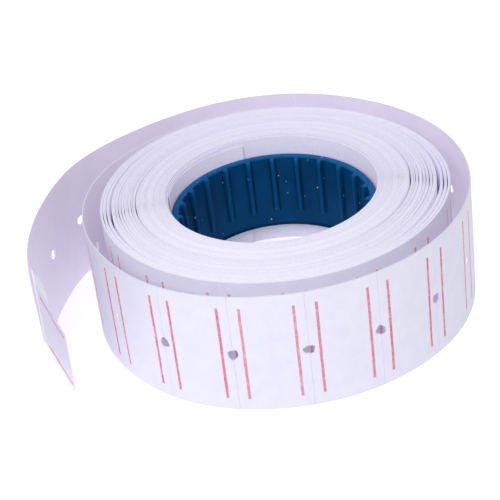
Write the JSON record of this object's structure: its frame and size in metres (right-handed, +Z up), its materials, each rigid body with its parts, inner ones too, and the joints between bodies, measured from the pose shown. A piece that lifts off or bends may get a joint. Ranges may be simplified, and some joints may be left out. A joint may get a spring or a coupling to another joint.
{
  "type": "price label roll",
  "caption": "Roll of self-adhesive price labels on a liner, wound on a ribbed plastic core, for a hand price-labelling gun; the outer turn is sprung loose, its end folded back.",
  "frame": {"origin": "middle of the object's footprint, on the plane it stands on", "axes": "+Z up along the roll's axis; +X from the free tail towards the roll; -Y towards the side that shows the printed labels"},
  "size_m": [0.0744, 0.0686, 0.0251],
  "materials": {
    "core": "moulded, satin",
    "label": "smooth coated paper with printed red rules",
    "wound_paper": "cut edges of wound paper",
    "liner": "glassine liner, smooth"
  },
  "bodies": {
    "roll": {"ribbed_core": "core", "wound_web": "wound_paper", "inner_lead_end": "liner", "sprung_turn_1": "wound_paper", "sprung_turn_2": "wound_paper", "sprung_turn_3": "wound_paper", "sprung_turn_4": "wound_paper", "loose_turn_liner": "liner", "label_01": "label", "label_02": "label", "label_03": "label", "label_04": "label", "label_05": "label", "label_06": "label", "label_07": "label", "label_08": "label", "label_09": "label", "label_10": "label", "label_11": "label", "label_12": "label", "label_13": "label", "label_14": "label", "label_15": "label", "label_16": "label"},
    "tail_link_1": {"tail_liner_1": "liner", "label_17": "label", "label_18": "label"},
    "tail_link_2": {"tail_liner_2": "liner", "label_19": "label", "label_20": "label"},
    "tail_link_3": {"tail_liner_3": "liner", "label_21": "label", "label_22": "label"},
    "tail_link_4": {"tail_liner_4": "liner", "label_23": "label", "label_24": "label"},
    "folded_end": {"folded_liner": "liner", "folded_label": "label"}
  },
  "joints": [
    {"name": "tail_bend_1", "type": "hinge", "parent": "roll", "child": "tail_link_1", "pos_m": [0.00991, 0.03339, 0], "axis": [0, 0, -1], "range_deg": [-1.5, 14], "stiffness_Nm_per_rad": 0.00075},
    {"name": "tail_bend_2", "type": "hinge", "parent": "tail_link_1", "child": "tail_link_2", "pos_m": [-0.01331, 0.03, 0], "axis": [0, 0, -1], "range_deg": [-1.5, 14], "stiffness_Nm_per_rad": 0.00075},
    {"name": "tail_bend_3", "type": "hinge", "parent": "tail_link_2", "child": "tail_link_3", "pos_m": [-0.03123, 0.01457, 0], "axis": [0, 0, -1], "range_deg": [-1.5, 14], "stiffness_Nm_per_rad": 0.00075},
    {"name": "tail_bend_4", "type": "hinge", "parent": "tail_link_3", "child": "tail_link_4", "pos_m": [-0.03711, -0.00846, 0], "axis": [0, 0, -1], "range_deg": [-1.5, 14], "stiffness_Nm_per_rad": 0.00075},
    {"name": "end_unfold", "type": "hinge", "parent": "tail_link_4", "child": "folded_end", "pos_m": [-0.03239, -0.02286, 0.0002], "axis": [0.0536, 0.5372, -0.8417], "range_deg": [0, 140], "stiffness_Nm_per_rad": 0.00003}
  ],
  "couplings": [
    {"joint": "tail_bend_2", "follows": "tail_bend_1", "ratio": 1},
    {"joint": "tail_bend_3", "follows": "tail_bend_1", "ratio": 1},
    {"joint": "tail_bend_4", "follows": "tail_bend_1", "ratio": 1}
  ]
}
